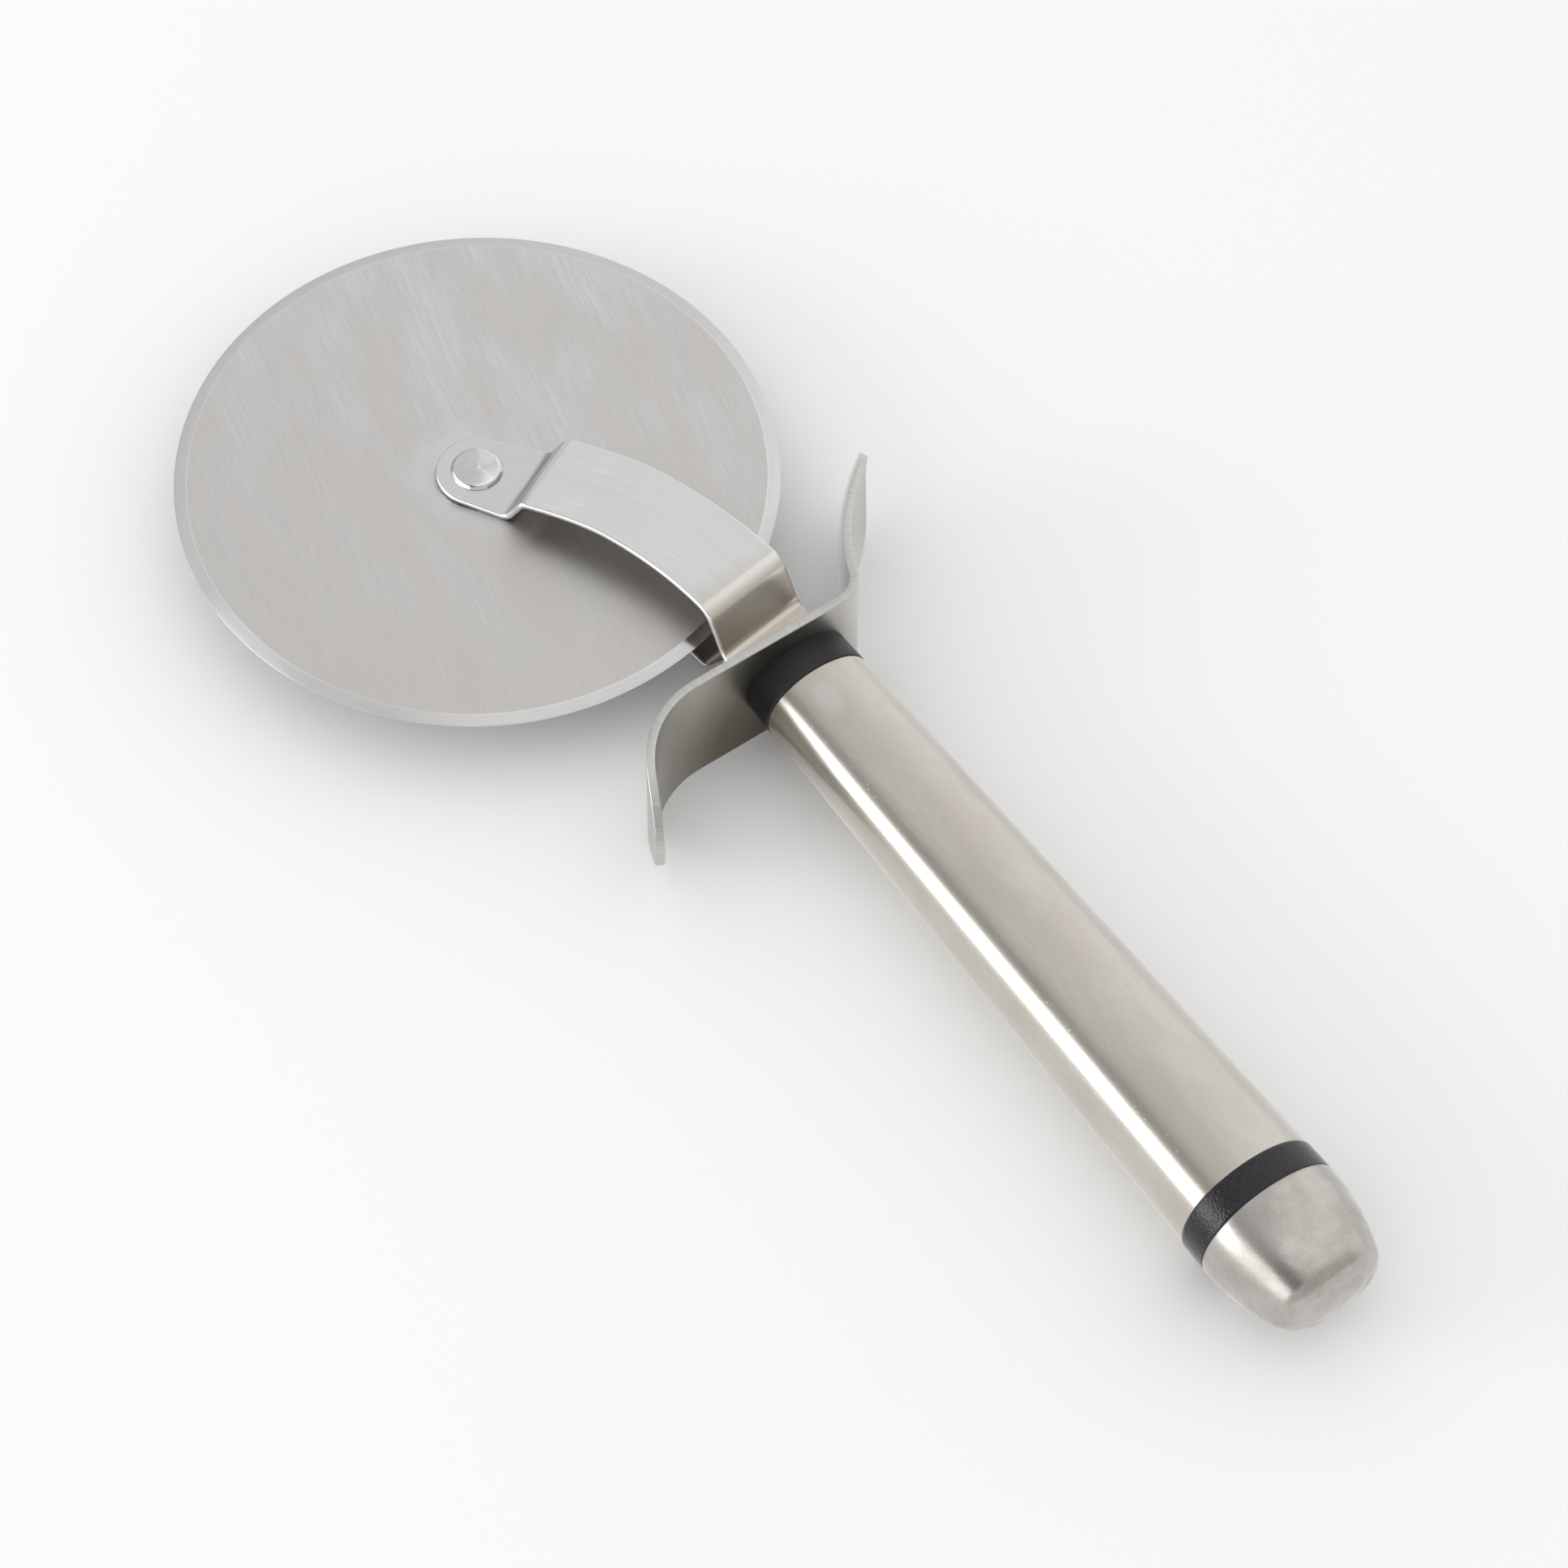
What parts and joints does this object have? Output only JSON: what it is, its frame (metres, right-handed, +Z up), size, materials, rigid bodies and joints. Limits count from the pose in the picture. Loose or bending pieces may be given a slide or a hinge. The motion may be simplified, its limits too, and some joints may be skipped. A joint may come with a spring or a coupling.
{
  "type": "pizza cutter wheel",
  "caption": "Hand-held wheel cutter: a round blade between two bent arms, with an S-shaped finger guard and thumb rest on a tapered oval metal handle with dark rings.",
  "frame": {"origin": "middle of the guard's lower edge, which the tool lies on", "axes": "+X back along the handle to its cap, +Y to the thumb rest's side, +Z up along the wheel's axle"},
  "size_m": [0.2587, 0.1048, 0.0244],
  "materials": {
    "wheel_steel": "brushed",
    "sheet_steel": "brushed",
    "grip_steel": "satin",
    "ring_plastic": "matte",
    "pin_steel": "polished"
  },
  "bodies": {
    "handle": {"axle_bush": "pin_steel", "axle_rivet": "pin_steel", "upper_arm": "sheet_steel", "lower_arm": "sheet_steel", "finger_guard": "sheet_steel", "front_ring": "ring_plastic", "handle_tube": "grip_steel", "rear_ring": "ring_plastic", "end_cap": "grip_steel", "cap_insert": "ring_plastic", "tie_rod": "pin_steel", "tang_rivets": "pin_steel"},
    "wheel": {"cutting_wheel": "wheel_steel"}
  },
  "joints": [
    {"name": "wheel_spin", "type": "hinge", "parent": "handle", "child": "wheel", "pos_m": [-0.0625, -0.0206, 0.0122], "axis": [0, 0, 1], "continuous": true}
  ]
}
